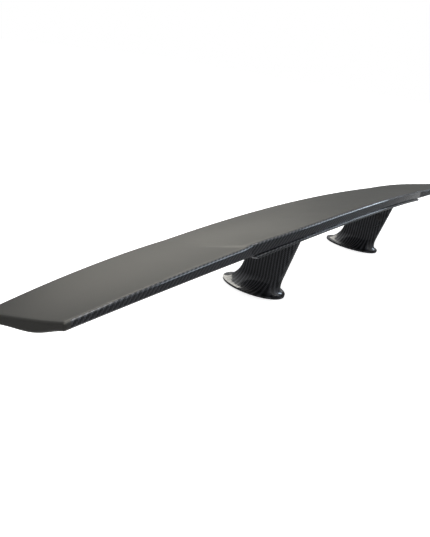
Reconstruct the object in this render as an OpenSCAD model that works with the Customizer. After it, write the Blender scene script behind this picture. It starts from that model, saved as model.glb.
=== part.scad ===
// Racing rear wing: a drooped, cambered carbon blade on two raked struts
// with flared feet. Millimetres. X spans the car (+X right), +Y points
// forward, +Z up. The origin is the centre of the feet's bolt pattern,
// on the plane that the feet stand on.

/* [Blade plan] */
// Half span at the leading edge
half_span_le = 686; // [560:1:840]
// How much shorter each half is at the trailing edge
tip_taper = 12; // [0:1:30]
// Half width of the centre panel at the leading edge
crease_le = 378; // [330:1:420]
// How much narrower half of the centre panel is at the trailing edge
crease_taper = 28; // [0:1:50]
// Leading-edge crest forward of the bolt pattern, at the centre
le_forward = 70; // [60:1:85]
// Leading-edge setback at the crease
setback_crease = 12; // [0:0.5:30]
// Leading-edge setback at the tip
setback_tip = 44; // [10:0.5:80]
// Crest-to-trailing-edge length in plan, at the centre
chord_centre = 176.5; // [160:0.5:210]
// Same length at the crease
chord_crease = 136; // [120:0.5:170]
// Same length at the tip
chord_tip = 118.5; // [100:0.5:150]

/* [Blade height] */
// Leading-edge crest above the feet, at the centre
blade_height = 106; // [90:1:150]
// Leading-edge droop at the crease
droop_crease = 6.5; // [0:0.5:20]
// Leading-edge droop at the tip
droop_tip = 19; // [0:0.5:45]
// Trailing edge above the leading-edge crest, at the centre
rise_centre = 49; // [40:0.5:60]
// Same rise at the crease
rise_crease = 31; // [25:0.5:45]
// Same rise at the tip
rise_tip = 36.2; // [25:0.1:50]

/* [Blade section] */
// Nose radius at the centre
nose_centre = 8; // [7:0.1:11]
// Nose radius at the crease
nose_crease = 7.5; // [6.5:0.1:10]
// Nose radius at the tip
nose_tip = 5.5; // [5:0.1:8]
// Trailing-edge face height at the centre
face_centre = 17; // [15:0.5:24]
// Trailing-edge face height at the crease
face_crease = 18.5; // [15:0.5:22]
// Trailing-edge face height at the tip
face_tip = 10.2; // [9.6:0.1:16]
// Belly of the underside at the centre
belly_centre = 4; // [3:0.1:7]
// Belly of the underside at the tip
belly_tip = 5; // [0:0.1:6]
// Hollow of the upper side ahead of the kicked-up edge
hollow_centre = 2.4; // [0:0.1:4]
// Height of the raised shoulder on each crease, at the trailing edge
shoulder_h = 2; // [0:0.1:4]
// Radius that rolls the upper side over into the trailing-edge face
roll_r = 5.5; // [4:0.1:6]
// Same radius at the tip
roll_tip = 4.5; // [3:0.1:5]
// Radius under the trailing-edge face at the centre
under_r = 2; // [1:0.1:3]
// Same radius at the crease
under_crease = 4; // [2:0.1:5]
// Same radius at the tip
under_tip = 3; // [2:0.1:4]
// Skin thickness
skin_t = 2.2; // [1.5:0.1:3]

/* [Blade structure] */
// Trailing-edge strip thickness
strip_t = 2.6; // [2:0.1:3.5]
// Tip cap thickness
cap_t = 8; // [6:0.5:14]
// Radius of the rounding around the tip
cap_round = 3; // [2:0.1:4.2]
// Spar web thickness
spar_t = 3; // [2:0.1:4]
// Rib thickness
rib_t = 2.5; // [1.5:0.1:4]
// Outboard rib's distance in from the tip
rib_in = 156; // [60:1:240]
// Mounting block width
block_w = 40; // [30:1:60]
// Mounting block length
block_l = 42; // [36:1:44]

/* [Lower lip] */
// How far the lip's ends stop short of the centre panel's corners
lip_short = 10; // [4:1:60]
// Lip height
lip_h = 5; // [3:0.1:7]
// Lip depth, front to back
lip_d = 9; // [7:0.1:14]
// Shadow slot between the trailing-edge strip and the lip
lip_slot = 0.8; // [0.6:0.1:3]
// How far the lip stands out behind the strip
lip_proud = 1.2; // [0:0.1:3]

/* [Struts] */
// Distance between strut centres
strut_spacing = 400; // [340:1:480]
// Width of the hollow inside the strut
hollow_w = 12; // [11:0.1:16]
// Front edge of the strut, produced down to the foot plane
strut_front = 38.8; // [36:0.1:50]
// Rear edge of the strut, produced down to the foot plane
strut_rear = 44.8; // [42:0.1:56]
// Rake of the front edge from vertical, degrees
rake_front = 17.7; // [12:0.1:20]
// Rake of the rear edge from vertical, degrees
rake_rear = 14; // [10:0.1:18]
// Strut shell wall
shell_t = 3; // [2.5:0.1:4]

/* [Feet] */
// Foot length
foot_l = 121; // [112:1:150]
// Foot width
foot_w = 73; // [60:1:95]
// Foot flange thickness
flange_t = 4; // [3:0.1:6]
// Height of the flare above the flange
flare_h = 28; // [18:1:34]
// Width of the flange rim around the base plate
rim_w = 7; // [5:0.5:12]
// Spacing of the two bolts under a foot
bolt_spacing = 52; // [46:0.5:60]
// Radius of the threaded base holes
base_hole_r = 3; // [2.5:0.05:4]
// Threaded boss radius
boss_r = 7; // [6:0.1:8]
// Threaded boss height above the base plate
boss_h = 9; // [7:0.1:11]

/* [Strut core] */
// Core web thickness
web_t = 8; // [6:0.1:8.5]
// Saddle thickness
saddle_t = 8; // [6:0.1:10]
// Half spacing of the blade bolts
blade_bolt_half = 14; // [12:0.5:16]
// Blade bolt radius
blade_bolt_r = 3; // [2.5:0.1:3]
// Blade bolt head radius
blade_head_r = 5; // [4.5:0.1:5.2]
// Blade bolt head height
blade_head_h = 6; // [4:0.1:6]
// Depth of the bolt windows below the saddle
window_h = 16; // [12:0.5:20]
// Radius of the lightening hole in the core
lighten_r = 11; // [6:0.5:12]

/* [Access covers] */
// Distance from the strut's rear edge forward to the cover's middle
cover_back = 28.6; // [27:0.1:31]
// Half length of the cover
cover_half_l = 23.1; // [19:0.1:23.6]
// Depth of the cover's middle below the blade
cover_depth = 32.5; // [30:0.5:36]
// Half height of the cover
cover_half_h = 23.5; // [20:0.5:24]
// Gap around the cover
cover_gap = 0.4; // [0.3:0.05:0.8]
// Rim of the cover left behind the fastener head
fastener_rim = 1.1; // [0.8:0.1:6]
// Fastener head radius
fastener_r = 7.5; // [6:0.1:8]
// Fastener head thickness
fastener_t = 2.1; // [1.8:0.1:2.4]
// Fastener shank radius
shank_r = 3; // [2.5:0.05:3.5]
// Receptacle outer radius
socket_r = 5.5; // [4.5:0.1:6.5]

/* [Hidden] */

half_span_te = half_span_le - tip_taper;
crease_te = crease_le - crease_taper;
lip_half = crease_te - lip_short;
rib_x = half_span_le - rib_in;
strut_x = strut_spacing / 2;
strut_w = hollow_w + 2 * shell_t;
bond = 0.15;            // glue line between bonded pieces
seat = 0.2;             // free play of a piece set inside another
run_fit = 0.05;         // radial clearance of a shank in its hole
saddle_side = 0.4;      // gap at each side of the saddle in the strut
saddle_w = hollow_w - 2 * saddle_side;
head_clear = 1.5;       // room fore and aft of a blade bolt's head
boss_clear = 4;         // room between the core's foot and a threaded boss
block_clear = 0.6;      // room between a mounting block and the upper skin
head_clear_r = 0.3;     // radial room around a fastener's head
edge_break = 0.8;       // chamfer on outer edges
crest_lean = 34.6;      // how far forward the crest's normal leans
bend_setback = 0.5;     // curvature of the outboard panel's lines, 0 straight
bend_droop = 0.9;
bend_rise = 1.875;
bend_face = 0.5;
shoulder_out = 0.03;    // half width of a shoulder outboard, in panel lengths
shoulder_in = 0.12;     // same inboard
shoulder_nose = 0.5;    // share of the shoulder's height left at the nose
belly_skew = 1.4;       // how far back the belly is deepest
spar_front_at = 0.2;    // spar places along the chord
spar_rear_at = 0.85;
cut = 1;                // how far a cutter passes the face it cuts
root = 0.5;             // how far a shank reaches into its head

// Chord stations of a skin, from the trailing edge to the nose
CHORD = [0.93, 0.89, 0.85, 0.8, 0.73, 0.64, 0.52, 0.4, 0.27, 0.14, 0];
ARC = [60, 30, 0];
CAP_ARC = [60, 30, 8];
// Span stations of one half: 0 at the middle, 1 at the crease, 2 at the tip
INNER = [0, 0.14, 0.28, 0.4, 0.5, 0.55, 0.6, 0.7, 0.82, 0.92];
NEAR = [0.96, 0.98, 1, 1.015, 1.03, 1.06];
OUTER = [1.14, 1.26, 1.4, 1.54, 1.68, 1.82];
HALF = concat(INNER, NEAR, OUTER);

function mix(a, b, t) = a + (b - a) * t;
function unit(v) = v / norm(v);
function ease(t) = t * t * (3 - 2 * t);
function power(v, p) = sign(v) * pow(abs(v), p);
function last(list) = len(list) - 1;
function reverse(list) = [for (i = [last(list):-1:0]) list[i]];

// A size that varies along the span through its values at the middle, at
// the crease and at the tip
function along(s, mid, crease, tip, bend = 0) =
    s <= 1 ? mid + (crease - mid) * s * s
    : let (b = s - 1) crease + (tip - crease) * ((1 - bend) * b + bend * b * b);

function le_x(s) = s <= 1 ? s * crease_le
    : mix(crease_le, half_span_le, s - 1);
function te_x(s) = s <= 1 ? s * crease_te
    : mix(crease_te, half_span_te, s - 1);
function le_y(s) = le_forward
    - along(s, 0, setback_crease, setback_tip, bend_setback);
function le_z(s) = blade_height - along(s, 0, droop_crease, droop_tip, bend_droop);
function te_y(s) = le_y(s)
    - along(s, chord_centre, chord_crease, chord_tip, bend_setback);
function te_z(s) = le_z(s)
    + along(s, rise_centre, rise_crease, rise_tip, bend_rise);
function nose_r(s) = along(s, nose_centre, nose_crease, nose_tip);
function face_h(s) = along(s, face_centre, face_crease, face_tip, bend_face);
function belly(s) = along(s, belly_centre, belly_centre, belly_tip);
function hollow(s) = along(s, hollow_centre, hollow_centre, hollow_centre / 2);

// Middle of the nose circle and of the trailing-edge face, as [y, z]
function nose_mid(s) = [le_y(s) - nose_r(s) * sin(crest_lean),
    le_z(s) - nose_r(s) * cos(crest_lean)];
function face_mid(s) = [te_y(s), te_z(s) - face_h(s) / 2];
function chord_dir(s) = unit(face_mid(s) - nose_mid(s));
function chord_len(s) = norm(face_mid(s) - nose_mid(s));
function up_dir(s) = let (e = chord_dir(s)) [e[1], -e[0]];
// Offsets turn from square to the chord at the nose to upright at the edge
function rise_dir(s, c) = unit(mix(up_dir(s), [0, 1], c * c));

// Raised shoulder that follows each crease and fades towards the nose
function shoulder(s, c) = let (
    d = s > 1 ? (s - 1) / shoulder_out : (1 - s) / shoulder_in)
    d >= 2 ? 0 : shoulder_h * mix(shoulder_nose, 1, c * c)
        * (1 + cos(90 * d)) / 2;

// How far a rounding of radius r has dropped the surface, a given length
// ahead of the trailing-edge face
function drop(r, ahead) = let (d = max(0, ahead))
    d >= r ? 0 : r - sqrt(r * r - (r - d) * (r - d));
function mean_h(s, c) = mix(nose_r(s), face_h(s) / 2, ease(c));
function square_h(s, c, side) = mean_h(s, c) + (side > 0
    ? shoulder(s, c) * ease(c) - hollow(s) * 6.75 * c * c * (1 - c)
    : belly(s) * pow(sin(180 * pow(c, belly_skew)), 2));
function edge_r(s, side) = side > 0 ? along(s, roll_r, roll_r, roll_tip)
    : along(s, under_r, under_crease, under_tip);
function height(s, c, side) = square_h(s, c, side)
    - drop(edge_r(s, side), (1 - c) * chord_len(s));

// A point of the section: s along the span, c along the chord, side 1 up
// or -1 down, t inwards, k a scale on the height. Negative s is the left half.
function skin_pt(s, c, side, t = 0, k = 1) = let (a = abs(s),
    p = nose_mid(a) + chord_dir(a) * chord_len(a) * c
        + rise_dir(a, c) * side * (k * height(a, c, side) - t))
    [sign(s) * mix(le_x(a), te_x(a), c), p[0], p[1]];
function nose_pt(s, angle, t = 0) = let (a = abs(s),
    p = nose_mid(a) + (up_dir(a) * sin(angle) - chord_dir(a) * cos(angle))
        * (nose_r(a) - t))
    [sign(s) * le_x(a), p[0], p[1]];

// Chord place a given length ahead of the trailing-edge face
function back_c(s, length) = 1 - length / chord_len(abs(s));

function skin_side(s, side, t) = concat(
    [for (d = [strip_t, (strip_t + roll_r) / 2, roll_r])
        skin_pt(s, back_c(s, d), side, t)],
    [for (c = CHORD) skin_pt(s, c, side, t)],
    [for (a = ARC) nose_pt(s, side * a, t)]);
function skin_ring(s, side) = concat(skin_side(s, side, 0),
    reverse(skin_side(s, side, skin_t)));

// Span place where the tip caps begin
cap_s = 2 - cap_t / (half_span_te - crease_te);
SPAN = concat([-cap_s], [for (i = [last(HALF):-1:1]) -HALF[i]], HALF, [cap_s]);

// Closed solid through rings of points. Point i of a ring faces point
// n-1-i across it, so the ends close as strips.
module sweep(rings, flip = false) {
    n = len(rings[0]);
    m = len(rings);
    k = n / 2;
    near_end = [for (i = [0:k - 2]) each
        [[i, n - 2 - i, i + 1], [i, n - 1 - i, n - 2 - i]]];
    far = (m - 1) * n;
    far_end = [for (i = [0:k - 2]) each
        [[far + i, far + i + 1, far + n - 2 - i],
         [far + i, far + n - 2 - i, far + n - 1 - i]]];
    sides = [for (j = [0:m - 2], i = [0:n - 1]) each
        let (a = j * n + i, b = j * n + (i + 1) % n)
        [[a, b, b + n], [a, b + n, a + n]]];
    faces = concat(near_end, far_end, sides);
    polyhedron([for (r = rings) each r],
        flip ? [for (f = faces) reverse(f)] : faces);
}

// Closed tube whose rings run up the outside and down the inside
module ring_loop(rings) {
    n = len(rings[0]);
    m = len(rings);
    polyhedron([for (r = rings) each r],
        [for (j = [0:m - 1], i = [0:n - 1]) each
            let (k = (j + 1) % m, i2 = (i + 1) % n)
            [[j * n + i, k * n + i2, k * n + i],
             [j * n + i, j * n + i2, k * n + i2]]]);
}

module blade_upper_skin() {
    color("dimgray")
        sweep([for (s = SPAN) skin_ring(s, 1)]);
}

// Underside of the blade at a given distance x from the middle, and the
// chord place there
function span_at(x, c) = let (w = mix(crease_le, crease_te, c))
    x <= w ? x / w
    : 1 + (x - w) / mix(half_span_le - crease_le, half_span_te - crease_te, c);
function at_x(x, c, side, t = 0) = let (p = skin_pt(span_at(x, c), c, side, t))
    [p[1], p[2]];
TABLE = [0, 0.08, 0.16, 0.24, 0.32, 0.4, 0.48, 0.56, 0.64, 0.72, 0.8, 0.88, 0.94, 1];
function chord_at(x, y) =
    lookup(-y, [for (c = TABLE) [-at_x(x, c, -1)[0], c]]);
function under_z(x, y) = at_x(x, chord_at(x, y), -1)[1];

// Strut outline
function strut_front_y(z) = strut_front - tan(rake_front) * z;
function strut_rear_y(z) = -strut_rear - tan(rake_rear) * z;
function strut_y(share, z) = mix(strut_rear_y(z), strut_front_y(z), share);
front_round = 2 / 2.6;  // superellipse powers of the strut's two ends
rear_round = 2 / 4.5;
SIDES = 40;

// Share of the foot's oval in the outline at height z: a concave flare
function flare(z) = z <= flange_t ? 1 : z >= flange_t + flare_h ? 0
    : let (q = (z - flange_t) / flare_h) 1 - sqrt(1 - (1 - q) * (1 - q));

function section_xy(a, z, t) = let (p = cos(a) >= 0 ? front_round : rear_round,
    mid = strut_y(0.5, z), half = (strut_front_y(z) - strut_rear_y(z)) / 2 - t)
    [(strut_w / 2 - t) * power(sin(a), p), mid + half * power(cos(a), p)];
function oval_xy(a, t) = [(foot_w / 2 - t) * sin(a), (foot_l / 2 - t) * cos(a)];
function strut_xy(a, z, t, lift) =
    mix(section_xy(a, z, t), oval_xy(a, t), flare(z + lift));
function level_ring(z, t = 0, lift = 0) = [for (i = [0:SIDES - 1])
    let (p = strut_xy(360 * i / SIDES, z, t, lift)) [strut_x + p[0], p[1], z]];
// Top ring, on the blade's underside
function top_ring(t, drop) = [for (i = [0:SIDES - 1]) let (a = 360 * i / SIDES,
    p1 = strut_xy(a, blade_height, t, 0),
    z1 = under_z(strut_x + p1[0], p1[1]) - drop,
    p2 = strut_xy(a, z1, t, 0),
    z2 = under_z(strut_x + p2[0], p2[1]) - drop)
    [strut_x + p2[0], p2[1], z2]];

FLARE = [0, 0.03, 0.09, 0.18, 0.3, 0.45, 0.65, 1];
straight_z = flange_t + flare_h;
mid_z = mix(straight_z, blade_height, 0.5);

// Underside plane over the strut: a line in [y, z] under the belly
line_front = strut_y(0.7, blade_height);
line_rear = strut_y(0.12, blade_height);
line_slope = (under_z(strut_x, line_rear) - under_z(strut_x, line_front))
    / (line_rear - line_front);
function line_z(y) = under_z(strut_x, line_front) + line_slope * (y - line_front);
saddle_tilt = atan(line_slope);
saddle_y = strut_y(0.42, blade_height);
saddle_len = 2 * (blade_bolt_half + blade_head_r);
// How far a skin's face lies above the line, square to it, over a
// rectangle of the given width and length around the saddle's middle
function over_z(x, y) = at_x(x, lookup(-y,
    [for (c = TABLE) [-at_x(x, c, 1, skin_t)[0], c]]), 1, skin_t)[1];
function patch(w, l) = [for (u = [-1, 0, 1], v = [-1, -0.5, 0, 0.5, 1])
    [strut_x + u * w / 2, saddle_y + v * l / 2]];
function rise_over(p, z) = (z - line_z(p[1])) * cos(saddle_tilt);
// The saddle stops under the lowest part of the skin over it, and the block
// fills the blade from the highest part of the lower skin under it
saddle_drop = bond - min([for (p = patch(saddle_w, saddle_len))
    rise_over(p, under_z(p[0], p[1]))]);
block_low = skin_t + bond + max([for (p = patch(block_w, block_l))
    rise_over(p, under_z(p[0], p[1]))]);
block_top = min([for (p = patch(block_w, block_l + 2 * block_clear))
    rise_over(p, over_z(p[0], p[1]))]) - block_clear;

// Place children with +Z square to the blade's underside over the strut
module on_saddle() {
    translate([strut_x, saddle_y, line_z(saddle_y)])
        rotate([saddle_tilt, 0, 0]) children();
}
module each_blade_bolt() {
    for (y = [-blade_bolt_half, blade_bolt_half]) translate([0, y, 0]) children();
}
bolt_top = block_top - 1;
module blade_bolt_holes(r) {
    on_saddle() each_blade_bolt() translate([0, 0, -saddle_t - cut])
        cylinder(h = saddle_t + bolt_top + cut, r = r, $fn = 48);
}

module blade_lower_skin() {
    color("dimgray") difference() {
        sweep([for (s = SPAN) skin_ring(s, -1)], flip = true);
        blade_bolt_holes(blade_bolt_r + seat);
        mirror([1, 0, 0]) blade_bolt_holes(blade_bolt_r + seat);
    }
}

// Trailing-edge strip: the woven face behind both skins
STRIP = [1, 0.6, 0.3, 0.1, 0];
function strip_side(s, side) = [for (q = STRIP)
    skin_pt(s, back_c(s, q * strip_t), side)];
function strip_ring(s) = concat(strip_side(s, 1), reverse(strip_side(s, -1)));

module centre_edge_strip() {
    color("slategray") sweep([for (s = SPAN) if (abs(s) <= 1) strip_ring(s)],
        flip = true);
}
module left_edge_strip() {
    color("gray") sweep([for (s = SPAN) if (s <= -1) strip_ring(s)], flip = true);
}
module right_edge_strip() {
    color("gray") sweep([for (s = SPAN) if (s >= 1) strip_ring(s)], flip = true);
}

// Lower lip: a neck under the blade and a rounded bar that stands proud
lip_end_s = lip_half / crease_te;
LIP = concat([for (s = INNER) if (s < lip_end_s - 0.04) s],
    [lip_end_s - 0.03, lip_end_s - 0.012, lip_end_s - 0.003, lip_end_s]);
LIP_SPAN = concat([for (i = [last(LIP):-1:1]) -LIP[i]], LIP);
function lip_scale(s) = let (d = (lip_end_s - abs(s)) * crease_te / lip_h)
    d >= 1 ? 1 : max(0.3, sqrt(1 - (1 - d) * (1 - d)));
// Point of the lip: ahead of the edge along the underside, and below it
function lip_pt(s, ahead, below) = let (p = skin_pt(s, 1, -1), a = abs(s),
    e = chord_dir(a), low = below + edge_r(a, -1))
    [p[0], p[1] - e[0] * ahead, p[2] - e[1] * ahead - low];
// Glued top of the neck, a bond line under the skin
function neck_pt(s, ahead) = skin_pt(s, back_c(s, ahead), -1) - [0, 0, bond];
function lip_ring(s) = let (k = lip_scale(s), neck_r = lip_slot + strip_t,
    neck_f = lip_d - 1, h0 = lip_slot * k, h1 = (lip_slot + 0.3) * k,
    h2 = (lip_slot + lip_h * 0.65) * k, h3 = (lip_slot + lip_h) * k,
    rear = -lip_proud * k, round = lip_h * 0.35 * k)
    [neck_pt(s, neck_r), lip_pt(s, neck_r, h0 + bond),
     lip_pt(s, rear, h1 + bond), lip_pt(s, rear, h2 + bond),
     lip_pt(s, rear + round, h3 + bond), lip_pt(s, lip_d - round, h3 + bond),
     lip_pt(s, lip_d, h2 + bond), lip_pt(s, lip_d, h1 + bond),
     lip_pt(s, neck_f, h0 + bond), neck_pt(s, neck_f)];
module lower_lip() {
    color("silver") sweep([for (s = LIP_SPAN) lip_ring(s)], flip = true);
}

// Tip caps close the ends with the full section
function whole_side(s, side, t) = let (len = chord_len(s)) concat(
    [for (c = concat([for (q = reverse(STRIP)) back_c(s, q * strip_t)],
            [back_c(s, (strip_t + roll_r) / 2), back_c(s, roll_r)], CHORD))
        skin_pt(s, c * (1 - t / len), side, 0, 1 - t / square_h(s, c, side))],
    [for (a = CAP_ARC) nose_pt(s, side * a, t)]);
function whole_ring(s, t) = concat(whole_side(s, 1, t),
    reverse(whole_side(s, -1, t)));
module right_tip_cap() {
    panel = half_span_te - crease_te;
    color("dimgray") sweep(concat([whole_ring(cap_s, 0)],
        [for (a = [0, 22.5, 45, 67.5, 90])
            whole_ring(2 - cap_round * (1 - sin(a)) / panel,
                cap_round * (1 - cos(a)))]));
}
module left_tip_cap() {
    mirror([1, 0, 0]) right_tip_cap();
}

// Spars run tip to tip between the skins
function spar_ring(s, c0) = let (c1 = c0 + spar_t / chord_len(abs(s)),
    t = skin_t + bond)
    [skin_pt(s, c1, 1, t), skin_pt(s, c0, 1, t),
     skin_pt(s, c0, -1, t), skin_pt(s, c1, -1, t)];
SPAR_SPAN = [for (s = SPAN) if (abs(s) < cap_s) s];
module front_spar() {
    color("khaki") sweep([for (s = SPAR_SPAN) spar_ring(s, spar_front_at)]);
}
module rear_spar() {
    color("khaki") sweep([for (s = SPAR_SPAN) spar_ring(s, spar_rear_at)]);
}

// Rib between the spars at distance x from the middle. The skins slope
// along the span, so the rib takes the smaller opening of its two faces.
function rib_c(x) = let (len = chord_len(span_at(x, 0.5)))
    [spar_front_at + (spar_t + seat) / len, spar_rear_at - seat / len];
module rib(x) {
    lim = rib_c(x);
    play = skin_t + bond + 0.06 * rib_t;
    places = [for (i = [0:7]) mix(lim[0], lim[1], i / 7)];
    translate([x - rib_t / 2, 0, 0]) rotate([90, 0, 90])
        linear_extrude(height = rib_t)
            polygon(concat([for (c = places) at_x(x, c, 1, play)],
                reverse([for (c = places) at_x(x, c, -1, play)])));
}
module right_outboard_rib() {
    color("tan") rib(rib_x);
}
module left_outboard_rib() {
    mirror([1, 0, 0]) right_outboard_rib();
}
rib_offset = block_w / 2 + seat + rib_t / 2;
module right_mount_ribs() {
    color("tan") for (x = [-rib_offset, rib_offset]) rib(strut_x + x);
}
module left_mount_ribs() {
    mirror([1, 0, 0]) right_mount_ribs();
}

// Threaded block inside the blade over each strut
module right_mount_block() {
    color("lightsteelblue") difference() {
        on_saddle() translate([-block_w / 2, -block_l / 2, block_low])
            cube([block_w, block_l, block_top - block_low]);
        blade_bolt_holes(blade_bolt_r + run_fit);
    }
}
module left_mount_block() {
    mirror([1, 0, 0]) right_mount_block();
}

// Cover outline on the strut's inboard side: a squircle raked with the
// strut's rear edge and hung below the blade
function face_yz(back, depth) = let (z = line_z(strut_rear_y(mid_z) + back) - depth)
    [strut_rear_y(z) + back, z];
module cover_prism(grow) {
    translate([strut_x - strut_w / 2 - cut, 0, 0]) rotate([90, 0, 90])
        linear_extrude(height = strut_w / 2 + cut - web_t / 2 + seat)
            polygon([for (i = [0:35]) let (a = 10 * i) face_yz(
                cover_back + (cover_half_l + grow) * power(cos(a), 0.5),
                cover_depth + (cover_half_h + grow) * power(sin(a), 0.5))]);
}

// Shell of the strut: outside up, inside down, with a rebate for the plate
module shell_form() {
    ring_loop(concat(
        [level_ring(0, edge_break), level_ring(edge_break)],
        [for (q = FLARE) level_ring(flange_t + q * flare_h)],
        [level_ring(mid_z), top_ring(0, bond), top_ring(shell_t, bond),
         level_ring(mid_z, shell_t)],
        [for (q = reverse(FLARE)) level_ring(flange_t + q * flare_h
            * (1 - shell_t / flare_h), shell_t, shell_t)],
        [[for (i = [0:SIDES - 1]) let (p = oval_xy(360 * i / SIDES, rim_w))
            [strut_x + p[0], p[1], flange_t]],
         [for (i = [0:SIDES - 1]) let (p = oval_xy(360 * i / SIDES, rim_w))
            [strut_x + p[0], p[1], 0]]]));
}
module right_strut_shell() {
    color("darkslategray") difference() {
        shell_form();
        cover_prism(cover_gap);
    }
}
module left_strut_shell() {
    mirror([1, 0, 0]) right_strut_shell();
}

// Fastener axis, along X, at half the cover's height
fastener_yz = face_yz(cover_back - cover_half_l + fastener_rim + head_clear_r
    + fastener_r, cover_depth);
face_x = strut_x - strut_w / 2;
head_proud = 0.5;
head_back = face_x - head_proud + fastener_t;
shank_end = strut_x + web_t / 2 - 1;
module on_fastener(x) {
    translate([x, fastener_yz[0], fastener_yz[1]]) rotate([0, 90, 0]) children();
}

module right_access_cover() {
    color("steelblue") difference() {
        intersection() {
            shell_form();
            cover_prism(0);
        }
        on_fastener(face_x - cut)
            cylinder(h = head_back - face_x + seat + cut, r = fastener_r + head_clear_r,
                $fn = 64);
        on_fastener(face_x - cut)
            cylinder(h = shell_t * 2 + cut, r = shank_r + run_fit, $fn = 48);
    }
}
module left_access_cover() {
    mirror([1, 0, 0]) right_access_cover();
}

slot_w = 1.8;
slot_deep = 1.1;
module right_cover_fastener() {
    color("gold") difference() {
        union() {
            on_fastener(face_x - head_proud)
                cylinder(h = fastener_t, r = fastener_r, $fn = 64);
            on_fastener(head_back - root)
                cylinder(h = root + shank_end - head_back, r = shank_r, $fn = 48);
        }
        translate([face_x - head_proud - cut, fastener_yz[0] - slot_w / 2,
            fastener_yz[1] - fastener_r * 0.7])
            cube([cut + slot_deep, slot_w, fastener_r * 1.4]);
    }
}
module left_cover_fastener() {
    mirror([1, 0, 0]) right_cover_fastener();
}

// Spring socket pressed into the core's web behind the cover
module right_fastener_socket() {
    color("orange") difference() {
        on_fastener(strut_x - web_t / 2) cylinder(h = web_t, r = socket_r, $fn = 48);
        on_fastener(strut_x - web_t / 2 - cut)
            cylinder(h = web_t + 2 * cut, r = shank_r + run_fit, $fn = 48);
    }
}
module left_fastener_socket() {
    mirror([1, 0, 0]) right_fastener_socket();
}

// Core: a raked web with a saddle that the blade bolts pull up against
core_foot = bolt_spacing / 2 - boss_r - boss_clear;
core_front_gap = 11;
core_rear_gap = 6;
module web_outline() {
    neck_z = flange_t + boss_h + boss_clear;
    top_f = strut_front_y(blade_height) - core_front_gap;
    top_r = strut_rear_y(blade_height) + core_rear_gap;
    polygon([[-core_foot, flange_t], [core_foot, flange_t], [core_foot, neck_z],
        [strut_front_y(straight_z) - core_front_gap, straight_z],
        [top_f, line_z(top_f) - saddle_drop - 1],
        [top_r, line_z(top_r) - saddle_drop - 1],
        [strut_rear_y(straight_z) + core_rear_gap, straight_z],
        [-core_foot, neck_z]]);
}
module right_strut_core() {
    lighten_z = mix(straight_z, fastener_yz[1], 0.35);
    color("lightgray") difference() {
        union() {
            translate([strut_x - web_t / 2, 0, 0]) rotate([90, 0, 90])
                linear_extrude(height = web_t) web_outline();
            on_saddle() translate([-saddle_w / 2, -saddle_len / 2,
                -saddle_drop - saddle_t])
                cube([saddle_w, saddle_len, saddle_t]);
        }
        on_saddle() each_blade_bolt() {
            translate([-saddle_w, -blade_head_r - head_clear,
                -saddle_drop - saddle_t - window_h])
                cube([2 * saddle_w, 2 * (blade_head_r + head_clear), window_h]);
            translate([0, 0, -saddle_drop - saddle_t - cut])
                cylinder(h = saddle_t + 2 * cut + saddle_drop,
                    r = blade_bolt_r + seat, $fn = 48);
        }
        on_fastener(strut_x - web_t / 2 - cut)
            cylinder(h = web_t + 2 * cut, r = socket_r, $fn = 48);
        translate([strut_x - web_t / 2 - cut, strut_y(0.55, lighten_z), lighten_z])
            rotate([0, 90, 0])
                cylinder(h = web_t + 2 * cut, r = lighten_r, $fn = 64);
    }
}
module left_strut_core() {
    mirror([1, 0, 0]) right_strut_core();
}

// Base plate in the foot's rebate, with two blind threaded bosses
module right_base_plate() {
    color("lightsteelblue") difference() {
        union() {
            translate([strut_x, 0, 0]) linear_extrude(height = flange_t)
                polygon([for (i = [0:2 * SIDES - 1])
                    oval_xy(360 * i / (2 * SIDES), rim_w + seat)]);
            for (y = [-bolt_spacing / 2, bolt_spacing / 2])
                translate([strut_x, y, 0])
                    cylinder(h = flange_t + boss_h, r = boss_r, $fn = 64);
        }
        for (y = [-bolt_spacing / 2, bolt_spacing / 2])
            translate([strut_x, y, -cut])
                cylinder(h = cut + flange_t + boss_h - 2, r = base_hole_r, $fn = 64);
    }
}
module left_base_plate() {
    mirror([1, 0, 0]) right_base_plate();
}

module right_blade_bolts() {
    socket_depth = blade_head_h * 0.5;
    color("goldenrod") on_saddle() each_blade_bolt() {
        difference() {
            union() {
                translate([0, 0, -saddle_drop - saddle_t - blade_head_h])
                    cylinder(h = blade_head_h, r = blade_head_r, $fn = 48);
                translate([0, 0, -saddle_drop - saddle_t - root])
                    cylinder(h = root + saddle_drop + saddle_t + bolt_top - 0.5,
                        r = blade_bolt_r, $fn = 48);
            }
            translate([0, 0, -saddle_drop - saddle_t - blade_head_h - cut])
                cylinder(h = socket_depth + cut, r = blade_bolt_r * 0.95, $fn = 6);
        }
    }
}
module left_blade_bolts() {
    mirror([1, 0, 0]) right_blade_bolts();
}

blade_upper_skin();
blade_lower_skin();
centre_edge_strip();
left_edge_strip();
right_edge_strip();
lower_lip();
left_tip_cap();
right_tip_cap();
front_spar();
rear_spar();
left_outboard_rib();
right_outboard_rib();
left_mount_ribs();
right_mount_ribs();
left_mount_block();
right_mount_block();
left_strut_shell();
right_strut_shell();
left_strut_core();
right_strut_core();
left_base_plate();
right_base_plate();
left_blade_bolts();
right_blade_bolts();
left_access_cover();
right_access_cover();
left_cover_fastener();
right_cover_fastener();
left_fastener_socket();
right_fastener_socket();
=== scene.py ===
"""Racing rear wing: the visible model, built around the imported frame.

Metres. X spans the car, +Y points forward, +Z up. Each operator makes one
piece or one group of like pieces, and the stage has its own.
"""

import math

import bmesh
import bpy
from mathutils import Matrix, Vector


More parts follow.
